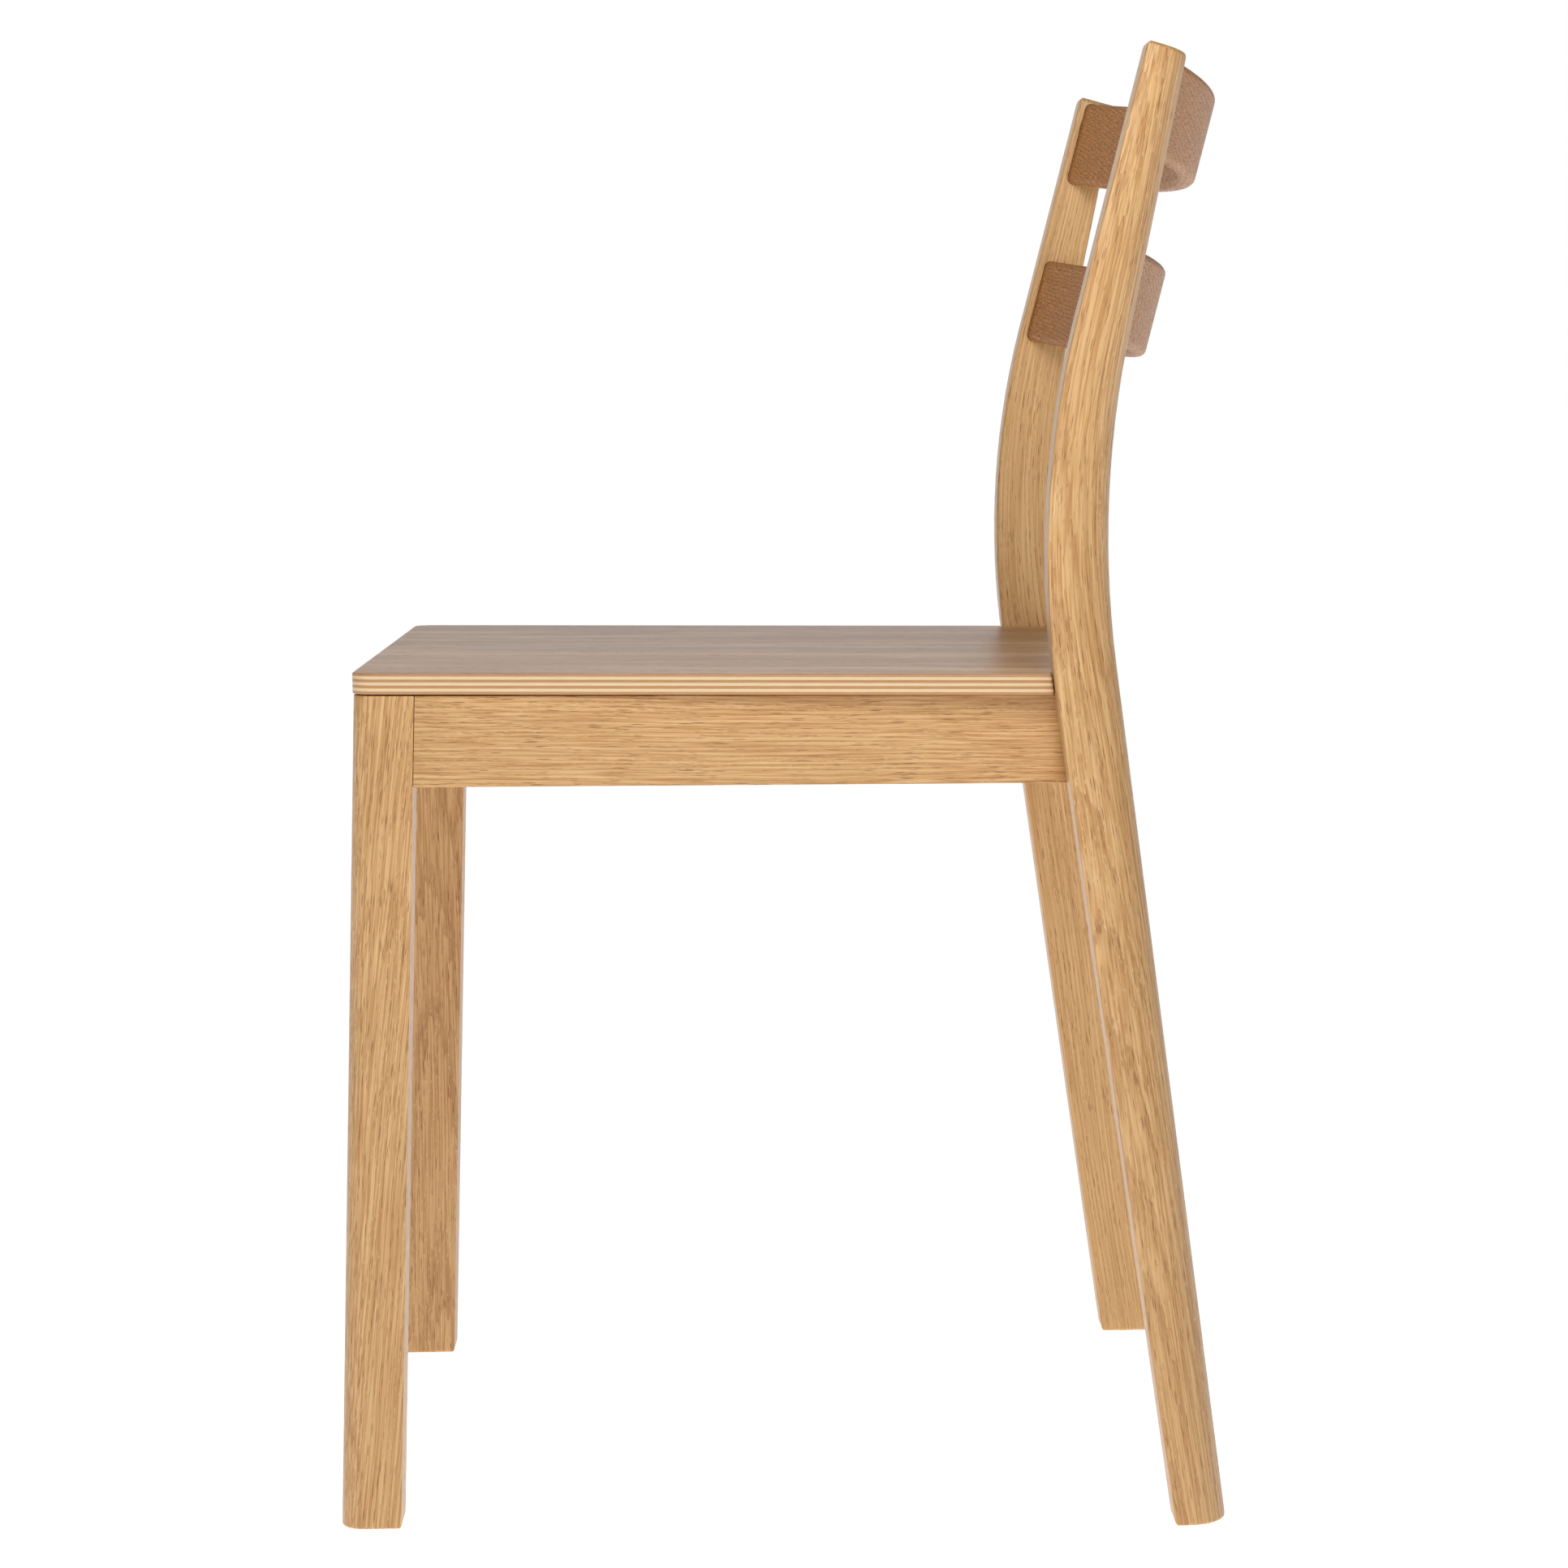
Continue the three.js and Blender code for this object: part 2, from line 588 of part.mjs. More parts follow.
// ---------------------------------------------------------------- seat panel
// The outline is drawn from the middle of the front edge round the left side, then mirrored.
function seatPlan() {
  const half = SEAT_WIDTH / 2;
  const tongueX = backX - SEAT_GAP;
  const rear = SEAT_SIDE_LENGTH + SEAT_TONGUE;
  const r = SEAT_CORNER;
  const s = SEAT_SMALL_CORNER;
  const quarter = Math.PI / 2;
  const shape = new THREE.Shape();
  shape.absarc(half - r, r, r, -quarter, 0, false);
  shape.absarc(half - s, SEAT_SIDE_LENGTH - s, s, 0, quarter, false);
  shape.lineTo(tongueX, SEAT_SIDE_LENGTH);
  shape.absarc(tongueX - s, rear - s, s, 0, quarter, false);
  shape.absarc(-tongueX + s, rear - s, s, quarter, 2 * quarter, false);
  shape.lineTo(-tongueX, SEAT_SIDE_LENGTH);
  shape.absarc(-half + s, SEAT_SIDE_LENGTH - s, s, quarter, 2 * quarter, false);
  shape.absarc(-half + r, r, r, 2 * quarter, 3 * quarter, false);
  return shape;
}
const seatPlace = (x, y, level) => [x, y, between(seatUnder(y), seatTop(y), level)];
const seatBlank = shaped(seatPlan(), seatPlace, 1, 8);
const seatHoles = [holesFor('front', 'seat_screw'), holesFor('rear', 'seat_screw')];
const seat = cut(toSolid(seatBlank), bothSides(seatHoles));
add('seat_panel', toGeometry(seat), plywood);

// ---------------------------------------------------------------- stand the chair on its origin
// The origin is under the middle of the chair, on the floor.
const bounds = new THREE.Box3().setFromObject(chair);
const middle = bounds.getCenter(new THREE.Vector3());
chair.position.set(-middle.x, -middle.y, -bounds.min.z);
chair.updateMatrixWorld(true);

export default chair;
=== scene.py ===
# %% [markdown]
# # An oak dining chair
# The frame holds every size, so this lesson builds the looks around it: softened edges, oak with its
# pores and rays, a plywood edge with its seven veneers, and the light of a plain white studio.
# Everything is in metres. +X is the sitter's left, the seat's front edge faces -Y, and +Z is up.

# %% Load the frame
from math import acos, atan2, cos, pi, radians, sin, sqrt, tan
import bmesh
import bpy
from mathutils import Matrix, Quaternion, Vector


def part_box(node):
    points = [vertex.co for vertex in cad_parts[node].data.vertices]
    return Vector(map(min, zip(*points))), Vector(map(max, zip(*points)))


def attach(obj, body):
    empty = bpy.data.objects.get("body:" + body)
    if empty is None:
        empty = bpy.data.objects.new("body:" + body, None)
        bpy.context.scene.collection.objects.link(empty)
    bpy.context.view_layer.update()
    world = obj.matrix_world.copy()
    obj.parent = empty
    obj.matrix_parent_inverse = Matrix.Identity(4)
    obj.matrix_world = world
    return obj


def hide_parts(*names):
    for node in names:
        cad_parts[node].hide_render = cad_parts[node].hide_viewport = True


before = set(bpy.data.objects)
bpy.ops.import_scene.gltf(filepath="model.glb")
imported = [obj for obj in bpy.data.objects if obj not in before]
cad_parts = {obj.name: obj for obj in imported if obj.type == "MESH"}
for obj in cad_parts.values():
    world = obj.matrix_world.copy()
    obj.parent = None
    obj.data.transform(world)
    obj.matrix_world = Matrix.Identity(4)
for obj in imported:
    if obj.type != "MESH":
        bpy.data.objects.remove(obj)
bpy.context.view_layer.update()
MM = 0.001

# %% [markdown]
# ## Colours
# A maker picks colours as sRGB hex values. Blender's shaders want linear light, so one small
# function turns the one into the other.

# %% A hex colour as linear light
def linear(hex_colour):
    channels = [int(hex_colour[i : i + 2], 16) / 255 for i in (1, 3, 5)]
    straight = [c / 12.92 if c <= 0.04045 else ((c + 0.055) / 1.055) ** 2.4 for c in channels]
    return (*straight, 1.0)


print("white oak heartwood, linear:", [round(c, 3) for c in linear("#c89d6e")])

# %% [markdown]
# ## The camera
# A chair catalogue shows its side view from a little above the seat, with a long lens, so that the far
# side shows just behind the near one. The camera stands two and a half metres to the sitter's left.

# %% Stand the camera
CAMERA_PLACE = (2.457, -0.0213, 0.6038)
CAMERA_YAW = radians(-0.442)  # about the upright axis
CAMERA_PITCH = radians(5.347)  # looking down
CAMERA_ROLL = radians(-0.975)
FRAME_SHARE = 2.7366  # focal length over the width of the picture

lens = bpy.data.cameras.new("side_view")
lens.sensor_width = 36
lens.lens = FRAME_SHARE * lens.sensor_width
lens.clip_start = 0.05
lens.clip_end = 200
camera = bpy.data.objects.new("side_view", lens)
bpy.context.scene.collection.objects.link(camera)
level = cos(CAMERA_PITCH)
facing = Vector((-cos(CAMERA_YAW) * level, -sin(CAMERA_YAW) * level, -sin(CAMERA_PITCH)))
turn = facing.to_track_quat("-Z", "Y") @ Quaternion((0, 0, 1), CAMERA_ROLL)
camera.matrix_world = Matrix.Translation(CAMERA_PLACE) @ turn.to_matrix().to_4x4()
bpy.context.scene.camera = camera
bpy.context.scene.view_settings.view_transform = "Standard"
print("lens:", round(lens.lens, 1), "mm")

# %% [markdown]
# ## Nodes
# Every finish here is a graph of nodes. One small function adds a node, sets what it is told to set and
# links what it is told to link. A node given as a value stands for its first output.

# %% Add a node with its settings and links
def node(tree, kind, sockets=None, **settings):
    made = tree.nodes.new("ShaderNode" + kind)
    for name, value in settings.items():
        setattr(made, name, value)
    for name, value in (sockets or {}).items():
        if isinstance(value, bpy.types.Node):
            value = value.outputs[0]
        if isinstance(value, bpy.types.NodeSocket):
            tree.links.new(value, made.inputs[name])
        else:
            made.inputs[name].default_value = value
    return made


def new_material(name):
    material = bpy.data.materials.new(name)
    material.use_nodes = True
    material.node_tree.nodes.clear()
    return material, material.node_tree


print("ready to draw materials on", bpy.app.version_string)

# %% [markdown]
# ## Floor and light
# Product pictures are taken on a white sweep, with one large soft box on the camera's side and the rest
# of the room left dim, so that each face of the wood gets its own shade. The backdrop itself is white.
# The world plays both parts: it is white to the camera, and to everything else it is a room that is
# bright beyond the chair and dim above it and behind the sitter.

# %% The room
ROOM_BRIGHTNESS = 0.34
TOWARDS_BACKDROP = 0.72
BACKDROP_TIGHTNESS = 5.0
TOWARDS_CEILING = -0.2
BEHIND_THE_SITTER = -0.3

world = bpy.data.worlds.new("white_studio")
world.use_nodes = True
bpy.context.scene.world = world
tree = world.node_tree
tree.nodes.clear()
where = node(tree, "SeparateXYZ", {0: node(tree, "TexCoord")})
away = node(tree, "Math", {0: where, 1: -1.0}, operation="MULTIPLY", use_clamp=True)
tight = node(tree, "Math", {0: away, 1: BACKDROP_TIGHTNESS}, operation="POWER")
added = {0: tight, 1: TOWARDS_BACKDROP, 2: ROOM_BRIGHTNESS}
backdrop = node(tree, "Math", added, operation="MULTIPLY_ADD")
behind = node(tree, "Math", {0: where.outputs[1], 1: 1.0}, operation="MULTIPLY", use_clamp=True)
dimmed = node(tree, "Math", {0: behind, 1: BEHIND_THE_SITTER, 2: backdrop}, operation="MULTIPLY_ADD")
dimmed_above = {0: where.outputs[2], 1: TOWARDS_CEILING, 2: dimmed}
ceiling = node(tree, "Math", dimmed_above, operation="MULTIPLY_ADD")
seen = node(tree, "LightPath").outputs["Is Camera Ray"]
strength = node(tree, "Math", {0: ceiling, 1: seen}, operation="MAXIMUM")
white = node(tree, "Background", {"Color": (1, 1, 1, 1), "Strength": strength})
node(tree, "OutputWorld", {"Surface": white})
print(world.name, "nodes:", len(tree.nodes))

# %% The paper sweep
# The paper glows a little, so that it is as white as the backdrop and only the shadows show.
PAPER_GLOW = 0.88
SWEEP_RADIUS = 60

paper, tree = new_material("white_paper_sweep")
paper_skin = node(tree, "BsdfDiffuse", {"Color": (0.8, 0.8, 0.8, 1)})
glow = node(tree, "Emission", {"Strength": PAPER_GLOW})
node(tree, "OutputMaterial", {"Surface": node(tree, "AddShader", {0: paper_skin, 1: glow})})
bpy.ops.mesh.primitive_circle_add(vertices=96, radius=SWEEP_RADIUS, fill_type="NGON")
floor = bpy.context.object
floor.name = "floor"
floor.data.materials.append(paper)
print("sweep:", 2 * SWEEP_RADIUS, "m across")


# %% [markdown]
# ## The soft box
# One square soft box stands above the camera and a little nearer to the chair. It is close enough
# to light the top of the back more than the feet, and large enough to leave no hard shadow. Its
# reflection in the satin lacquer is what makes the wood look finished.

# %% The soft box
LIGHT_AIM = Vector((0, 0, 0.4))  # the middle of the chair


def soft_box(name, place, size, power):
    light = bpy.data.lights.new(name, "AREA")
    light.size = size
    light.energy = power
    lamp = bpy.data.objects.new(name, light)
    bpy.context.scene.collection.objects.link(lamp)
    aim = LIGHT_AIM - Vector(place)
    lamp.matrix_world = Matrix.Translation(place) @ aim.to_track_quat("-Z", "Y").to_matrix().to_4x4()


soft_box("key_soft_box", place=(1.2, 0.0, 1.25), size=0.8, power=11)
print("lights:", [light.name for light in bpy.data.lights])

# %% [markdown]
# ## Rounded sections and lofts
# A joiner takes every sharp edge off with a router or sandpaper, and calls what is left an arris. Here
# each stick of wood is a loft: a rounded outline is repeated along the stick, and the rings are joined
# with strips of faces. An extra point on each side of an arris keeps the flats truly flat when shaded.

# %% A rounded outline
ARC_STEPS = 6
HOLD = 0.5 * MM  # distance of the extra points from an arris


def rounded_path(corners, steps=ARC_STEPS):
    """Points anticlockwise round a path of (x, y, radius) corners. A hold point ends each arc."""
    points = []
    for i, (x, y, radius) in enumerate(corners):
        corner = Vector((x, y))
        before = (corner - Vector(corners[i - 1][:2])).normalized()
        after = (Vector(corners[(i + 1) % len(corners)][:2]) - corner).normalized()
        bend = atan2(before.x * after.y - before.y * after.x, before.dot(after))
        side = 1 if bend > 0 else -1
        start = corner - before * radius * tan(abs(bend) / 2)
        centre = start + side * radius * Vector((-before.y, before.x))
        arc = [centre + Matrix.Rotation(bend * k / steps, 2) @ (start - centre) for k in range(steps + 1)]
        points += [arc[0] - HOLD * before, *arc, arc[-1] + HOLD * after]
    return points


square = [(0, 0, MM), (0.03, 0, MM), (0.03, 0.03, MM), (0, 0.03, MM)]
print("points round a square stick:", len(rounded_path(square)))


# %% Rectangles, and outlines moved inwards
SMALLEST_RADIUS = 0.15 * MM


def rectangle(low, high, radii, inset=0.0):
    """A rounded rectangle, moved inwards all round by an inset. The radii start at the low corner."""
    x0, y0, x1, y1 = low[0] + inset, low[1] + inset, high[0] - inset, high[1] - inset
    places = ((x0, y0), (x1, y0), (x1, y1), (x0, y1))
    return rounded_path([(*xy, max(r - inset, SMALLEST_RADIUS)) for xy, r in zip(places, radii)])


def moved_in(points, inset):
    """A closed path moved inwards by the same distance everywhere."""
    result = []
    for i, point in enumerate(points):
        before = (point - points[i - 1]).normalized()
        after = (points[(i + 1) % len(points)] - point).normalized()
        left = Vector((-before.y, before.x)), Vector((-after.y, after.x))
        result.append(point + inset * (left[0] + left[1]) / (1 + left[0].dot(left[1])))
    return result


print("points in a rectangle:", len(rectangle((0, 0), (0.03, 0.03), [2 * MM] * 4)))


# %% Rounded ends
def rounding(radius, steps=4):
    """Pairs of (inset, distance from the end) for an end with a rounded edge, from the end inwards."""
    turns = [0.5 * pi * step / steps for step in range(steps + 1)]
    return [(radius + HOLD, 0.0), *((radius * (1 - sin(a)), radius * (1 - cos(a))) for a in turns)]


print("rings in a rounded end:", len(rounding(2 * MM)))

# %% [markdown]
# ## Where each piece lay in the log
# Wood looks different on every face because it is solid: rings, pores and rays run through it. Each
# point of a piece therefore carries its place in a log, with the trunk along Z and the pith at the
# middle. A board cut beside the pith shows straight lines, and one cut far out shows arches.

# %% Turn a point of a piece into a point of the log
def log_place(point, pith, turn=0.0, lean=(0.0, 0.0), start=0.0):
    """point is (across, across, along) in the piece; pith is the piece's origin seen from the pith."""
    a, b, along = point
    x = a * cos(turn) - b * sin(turn) + pith[0] + lean[0] * along
    y = a * sin(turn) + b * cos(turn) + pith[1] + lean[1] * along
    return Vector((x, y, along + start))


print("a point 5 cm from the pith:", log_place((0, 0, 0), pith=(0.05, 0)))


# %% Loft a piece of wood
def loft(name, rings, wood):
    """A closed skin over rings of (point, wood point) pairs. wood says how the piece lay in the log."""
    count = len(rings[0])
    points = [pair[0] for ring in rings for pair in ring]
    last = count * (len(rings) - 1)
    faces = [tuple(range(count))[::-1], tuple(range(last, last + count))]
    for level in range(len(rings) - 1):
        for i in range(count):
            j = (i + 1) % count
            low, high = level * count, (level + 1) * count
            faces.append((low + i, low + j, high + j, high + i))
    mesh = bpy.data.meshes.new(name)
    mesh.from_pydata(points, [], faces)
    place = mesh.attributes.new("log", "FLOAT_VECTOR", "POINT")
    wood_points = [pair[1] for ring in rings for pair in ring]
    for entry, wood_point in zip(place.data, wood_points):
        entry.vector = log_place(wood_point, **wood)
    work = bmesh.new()
    work.from_mesh(mesh)
    bmesh.ops.recalc_face_normals(work, faces=work.faces)
    work.to_mesh(mesh)
    work.free()
    mesh.shade_smooth()
    piece = bpy.data.objects.new(name, mesh)
    bpy.context.scene.collection.objects.link(piece)
    return piece


# %% Settle a piece on the chair
def settle(piece, cad_node, material):
    """The piece rides on the chair, stands for its CAD node and takes its finish."""
    piece.data.materials.append(material)
    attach(piece, "root")
    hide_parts(cad_node)
    print(piece.name, "faces:", len(piece.data.polygons))


# %% [markdown]
# ## Lacquered oak
# The legs and rails are solid European oak, planed, sanded and finished with a clear satin lacquer. Oak
# is ring porous: each spring the tree lays down a band of wide pores, which show as short brown dashes
# where a face cuts along them. Rays run from the pith outwards and show as pale flecks. The lacquer
# fills most of each pore, so the dashes are dark but shallow, and it shines softly at low angles.

# %% The sizes of the figure
RING_WIDTH = 2.4 * MM
PORE_SIZE = (0.9 * MM, 0.9 * MM, 14 * MM)  # pores are 0.3 mm wide; drawn coarser, so that they show
FINE_PORE_SIZE = (0.7 * MM, 0.7 * MM, 8 * MM)
RAY_SIZE = (14 * MM, 1.1 * MM, 5 * MM)  # outwards, round the log and along it
FIBRE_SIZE = (0.9 * MM, 0.9 * MM, 90 * MM)  # fibres are far finer; drawn coarser, so that they show
STREAK_SIZE = (5 * MM, 5 * MM, 110 * MM)
SWAY_SIZE = (60 * MM, 60 * MM, 240 * MM)  # a trunk is never quite straight
SWAY = 9 * MM
RING_WOBBLE_SIZE = (3 * MM, 3 * MM, 25 * MM)  # each ring is a little uneven


def per(size):
    """What to multiply a place by, so that a pattern's cells come out at this size in metres."""
    return tuple(1 / length for length in size)


print("rings to the centimetre:", round(10 * MM / RING_WIDTH, 1))


# %% [markdown]
# ## The parts of the figure
# Each part of the figure is a small graph of its own. Rings follow the distance from the pith. Pores
# and rays are cells of a Voronoi pattern, stretched along the trunk or outwards from it, so that each
# face cuts them at its own angle, as a saw would. A flat picture of grain could not do this.

# %% Growth rings
def place_in_log(tree):
    """Where a point lay in a trunk that sways a little."""
    place = node(tree, "Attribute", attribute_name="log").outputs["Vector"]
    cells = node(tree, "VectorMath", {0: place, 1: per(SWAY_SIZE)}, operation="MULTIPLY")
    drift = node(tree, "TexNoise", {"Vector": cells, "Scale": 1.0, "Detail": 1.0}).outputs["Color"]
    centred = node(tree, "VectorMath", {0: drift, 1: (0.5, 0.5, 0.5)}, operation="SUBTRACT")
    shift = node(tree, "VectorMath", {0: centred, 1: (SWAY, SWAY, 0)}, operation="MULTIPLY")
    return node(tree, "VectorMath", {0: place, 1: shift}, operation="ADD")


def growth_rings(tree, place):
    """How far through its year the wood at a place is, and how far out from the pith."""
    flat = node(tree, "VectorMath", {0: place, 1: (1, 1, 0)}, operation="MULTIPLY")
    out = node(tree, "VectorMath", {0: flat}, operation="LENGTH").outputs["Value"]
    cells = node(tree, "VectorMath", {0: place, 1: per(RING_WOBBLE_SIZE)}, operation="MULTIPLY")
    wobble = node(tree, "TexNoise", {"Vector": cells, "Scale": 1.0, "Detail": 2.0})
    years = node(tree, "Math", {0: out, 1: 1 / RING_WIDTH, 2: wobble}, operation="MULTIPLY_ADD")
    return node(tree, "Math", {0: years}, operation="FRACT"), out


# %% Pores
SPRING_EXTRA = 0.6  # how many more pores the spring wood keeps
NARROW_PORE = 0.22  # as a share of a cell
PORE_SPREAD = 0.16
PORE_EDGE = 9.0  # the higher, the sharper


def pores(tree, place, spring, size, share):
    """Dashes where pores are cut. Spring wood keeps more of them than the given share."""
    cells = node(tree, "VectorMath", {0: place, 1: per(size)}, operation="MULTIPLY")
    pattern = node(tree, "TexVoronoi", {"Vector": cells, "Scale": 1.0})
    luck = node(tree, "SeparateColor", {0: pattern.outputs["Color"]})
    chance = node(tree, "Math", {0: spring, 1: SPRING_EXTRA, 2: share}, operation="MULTIPLY_ADD")
    kept = node(tree, "Math", {0: luck, 1: chance}, operation="LESS_THAN")
    spread = {0: luck.outputs[1], 1: PORE_SPREAD, 2: NARROW_PORE}
    widest = node(tree, "Math", spread, operation="MULTIPLY_ADD")
    inside = node(tree, "Math", {0: widest, 1: pattern.outputs["Distance"]}, operation="SUBTRACT")
    soft = node(tree, "Math", {0: inside, 1: PORE_EDGE}, operation="MULTIPLY", use_clamp=True)
    return node(tree, "Math", {0: soft, 1: kept}, operation="MULTIPLY")


# %% Rays
FLECK_RADIUS = 0.3  # as a share of a cell
FLECK_EDGE = 8.0


def ray_flecks(tree, place, out, share):
    """Pale flecks that run outwards from the pith."""
    parts = node(tree, "SeparateXYZ", {0: place})
    angle = node(tree, "Math", {0: parts.outputs[1], 1: parts.outputs[0]}, operation="ARCTAN2")
    around = node(tree, "Math", {0: angle, 1: out}, operation="MULTIPLY")
    polar = node(tree, "CombineXYZ", {0: out, 1: around, 2: parts.outputs[2]})
    cells = node(tree, "VectorMath", {0: polar, 1: per(RAY_SIZE)}, operation="MULTIPLY")
    pattern = node(tree, "TexVoronoi", {"Vector": cells, "Scale": 1.0})
    luck = node(tree, "SeparateColor", {0: pattern.outputs["Color"]})
    kept = node(tree, "Math", {0: luck, 1: share}, operation="LESS_THAN")
    inside = node(tree, "Math", {0: FLECK_RADIUS, 1: pattern.outputs["Distance"]}, operation="SUBTRACT")
    soft = node(tree, "Math", {0: inside, 1: FLECK_EDGE}, operation="MULTIPLY", use_clamp=True)
    return node(tree, "Math", {0: soft, 1: kept}, operation="MULTIPLY")


# %% Put a colour over another
def over(tree, under, colour, mask, strength=1.0):
    amount = node(tree, "Math", {0: mask, 1: strength}, operation="MULTIPLY", use_clamp=True)
    return node(tree, "Mix", {0: amount, 6: under, 7: colour}, data_type="RGBA").outputs[2]


# %% How strongly each part of the figure shows
PALE_FIBRES = 0.95
DARK_FIBRES = 0.8
BROAD_STREAKS = 0.15
SPRING_WOOD = 0.55
FLECKS = 0.6
PORES = 0.65
FINE_PORES = 0.6  # against the wide ones
print("the strongest part of the figure:", max(PALE_FIBRES, DARK_FIBRES, SPRING_WOOD, PORES))


# %% The colour of oak
def oak_figure(tree, tones, pore_share, fleck_share):
    """Colour and pore mask of oak. The tones are those of pale, middle and dark wood and of pores."""
    pale, middle, dark, pore = (linear(tone) for tone in tones)
    place = place_in_log(tree)
    season, out = growth_rings(tree, place)
    spring = node(tree, "MapRange", {"Value": season, "From Min": 0.5, "From Max": 0.05})
    wide = pores(tree, place, spring, PORE_SIZE, pore_share)
    fine = pores(tree, place, spring, FINE_PORE_SIZE, pore_share + 0.1)
    faint = node(tree, "Math", {0: fine, 1: FINE_PORES}, operation="MULTIPLY")
    pore_mask = node(tree, "Math", {0: wide, 1: faint}, operation="MAXIMUM")
    cells = node(tree, "VectorMath", {0: place, 1: per(FIBRE_SIZE)}, operation="MULTIPLY")
    fibre = node(tree, "TexNoise", {"Vector": cells, "Scale": 1.0, "Detail": 2.0})
    cells = node(tree, "VectorMath", {0: place, 1: per(STREAK_SIZE)}, operation="MULTIPLY")
    streak = node(tree, "TexNoise", {"Vector": cells, "Scale": 1.0, "Detail": 3.0})
    lifted = node(tree, "MapRange", {"Value": fibre, "From Min": 0.45, "From Max": 0.7})
    sunk = node(tree, "MapRange", {"Value": fibre, "From Min": 0.5, "From Max": 0.3})
    broad = node(tree, "MapRange", {"Value": streak, "From Min": 0.38, "From Max": 0.66})
    colour = over(tree, middle, pale, lifted, PALE_FIBRES)
    colour = over(tree, colour, dark, sunk, DARK_FIBRES)
    colour = over(tree, colour, dark, broad, BROAD_STREAKS)
    colour = over(tree, colour, dark, spring, SPRING_WOOD)
    colour = over(tree, colour, pale, ray_flecks(tree, place, out, fleck_share), FLECKS)
    return over(tree, colour, pore, pore_mask, PORES), pore_mask


# %% Satin lacquer
SATIN = 0.36
PORE_DEPTH = 0.12 * MM


def lacquered(tree, colour, pore_mask, roughness=SATIN):
    """A clear satin lacquer over wood. The pores stay as shallow dents."""
    dents = node(tree, "Math", {0: pore_mask, 1: -1.0}, operation="MULTIPLY")
    bump = node(tree, "Bump", {"Strength": 0.5, "Distance": PORE_DEPTH, "Height": dents})
    satin = node(tree, "Math", {0: pore_mask, 1: 0.25, 2: roughness}, operation="MULTIPLY_ADD")
    look = {"Base Color": colour, "Roughness": satin, "IOR": 1.5, "Normal": bump}
    node(tree, "OutputMaterial", {"Surface": node(tree, "BsdfPrincipled", look)})


# %% Solid oak, for legs and rails
solid_oak, tree = new_material("satin_lacquered_oak")
tones = ("#e0b984", "#cc9e67", "#ad7c47", "#7a4a22")
lacquered(tree, *oak_figure(tree, tones, pore_share=0.25, fleck_share=0.25))
print(solid_oak.name, "nodes:", len(tree.nodes))

# %% A paler copy of the same oak, partly painted light
# One upright takes a paler copy of the oak: partly a paler board, and partly painted light that brightens
# the far upright where the slats and the seat shade it.
paler_oak_with_painted_light, tree = new_material("satin_lacquered_oak_with_painted_light")
tones = ("#e8c08a", "#d8ab70", "#c08f56", "#8a5729")
lacquered(tree, *oak_figure(tree, tones, pore_share=0.2, fleck_share=0.35))
print(paler_oak_with_painted_light.name, "nodes:", len(tree.nodes))

# %% [markdown]
# ## Slat oak
# The slats are sawn to their curve from thick oak, so the grain runs straight across the chair and the
# saw meets it at a slant near the ends. Slanted wood drinks more lacquer and looks darker and redder.

# %% Solid oak, for the sawn slats
slat_oak, tree = new_material("satin_lacquered_slat_oak")
tones = ("#d09355", "#b5783b", "#8c5825", "#5a310f")
lacquered(tree, *oak_figure(tree, tones, pore_share=0.35, fleck_share=0.35), roughness=0.45)
print(slat_oak.name, "nodes:", len(tree.nodes))

# %% [markdown]
# ## Plywood
# The seat is seven veneers glued crosswise, faced with oak. On the edge, veneers cut along the grain
# look pale and those cut across it look brown, so the edge is striped. The depth below the top face
# says which veneer a point is in.

# %% The striped edge
VENEERS = 7
SEAT_THICKNESS = 11 * MM
EDGE_GRAIN_SIZE = (9 * MM, 9 * MM, 1.2 * MM)


def veneer_edge(tree):
    """The colour of the edge of plywood: pale and brown veneers in turn."""
    depth = node(tree, "Attribute", attribute_name="depth").outputs["Fac"]
    pairs = node(tree, "Math", {0: depth, 1: 0.5 * VENEERS / SEAT_THICKNESS}, operation="MULTIPLY")
    along = node(tree, "Math", {0: pairs}, operation="FRACT")
    crosswise = node(tree, "MapRange", {"Value": along, "From Min": 0.45, "From Max": 0.55})
    place = node(tree, "TexCoord").outputs["Object"]
    cells = node(tree, "VectorMath", {0: place, 1: per(EDGE_GRAIN_SIZE)}, operation="MULTIPLY")
    grain = node(tree, "TexNoise", {"Vector": cells, "Scale": 1.0, "Detail": 3.0})
    brown = over(tree, linear("#ac7d4f"), linear("#bf9364"), grain)
    pale = over(tree, linear("#dabb90"), linear("#e6cca6"), grain)
    return over(tree, brown, pale, crosswise)


# %% Oak-faced plywood
# The face veneer is peeled or sliced thin, so soft darker and paler bands run from front to back.
BAND_SIZE = (38 * MM, 260 * MM, 50 * MM)

plywood, tree = new_material("satin_lacquered_oak_faced_plywood")
tones = ("#d8a971", "#c8945c", "#ac7946", "#875930")
face_colour, pore_mask = oak_figure(tree, tones, pore_share=0.2, fleck_share=0.15)
place = node(tree, "TexCoord").outputs["Object"]
cells = node(tree, "VectorMath", {0: place, 1: per(BAND_SIZE)}, operation="MULTIPLY")
bands = node(tree, "TexNoise", {"Vector": cells, "Scale": 1.0, "Detail": 3.0, "Distortion": 0.8})
dark_band = node(tree, "MapRange", {"Value": bands, "From Min": 0.48, "From Max": 0.66})
pale_band = node(tree, "MapRange", {"Value": bands, "From Min": 0.5, "From Max": 0.34})
face_colour = over(tree, face_colour, linear("#9a6638"), dark_band, 0.45)
face_colour = over(tree, face_colour, linear("#e8bd92"), pale_band, 0.55)
upright = node(tree, "SeparateXYZ", {0: node(tree, "NewGeometry").outputs["Normal"]}).outputs[2]
level = node(tree, "Math", {0: upright}, operation="ABSOLUTE")
